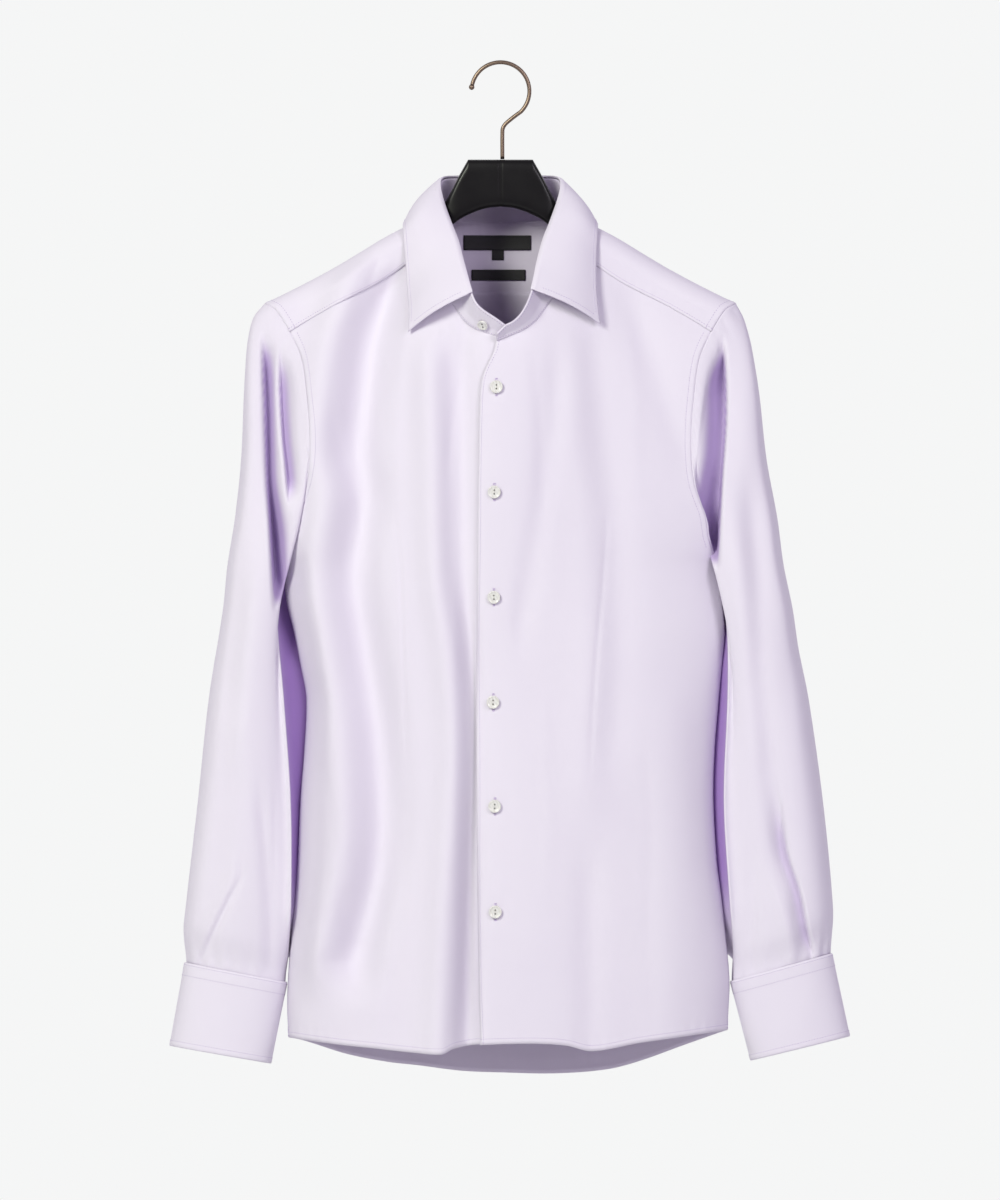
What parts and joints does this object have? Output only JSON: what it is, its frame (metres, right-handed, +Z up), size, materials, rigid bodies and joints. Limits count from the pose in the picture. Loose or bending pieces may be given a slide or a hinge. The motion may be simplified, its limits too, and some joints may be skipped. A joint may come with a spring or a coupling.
{
  "type": "long sleeve dress shirt on a hanger",
  "caption": "Long sleeve dress shirt with a pointed collar, worn open at the neck, on a shaped hanger with a wire hook. It hangs from the hook's inner top.",
  "frame": {"origin": "inner top of the hook, where the rail carries it", "axes": "+Z up, -Y out of the shirt's front, +X to the wearer's left"},
  "size_m": [0.5999, 0.1314, 0.8931],
  "materials": {
    "cloth": "smooth fine twill with a soft sheen",
    "buttons": "polished off-white with a soft pearl sheen",
    "labels": "woven satin label, bare",
    "hanger": "black satin lacquer",
    "hook": "antique bronze, polished"
  },
  "bodies": {
    "root": {"yoke": "cloth", "back": "cloth", "front_right": "cloth", "front_left": "cloth", "collar_stand": "cloth", "collar_leaf": "cloth", "sleeve_right": "cloth", "sleeve_placket_right": "cloth", "cuff_right": "cloth", "cuff_button_right": "buttons", "sleeve_left": "cloth", "sleeve_placket_left": "cloth", "cuff_left": "cloth", "cuff_button_left": "buttons", "front_button_1": "buttons", "front_button_2": "buttons", "front_button_3": "buttons", "front_button_4": "buttons", "front_button_5": "buttons", "front_button_6": "buttons", "collar_button": "buttons", "neck_label": "labels", "size_label": "labels", "lower_label": "labels", "hanger": "hanger", "hook": "hook"}
  },
  "joints": []
}
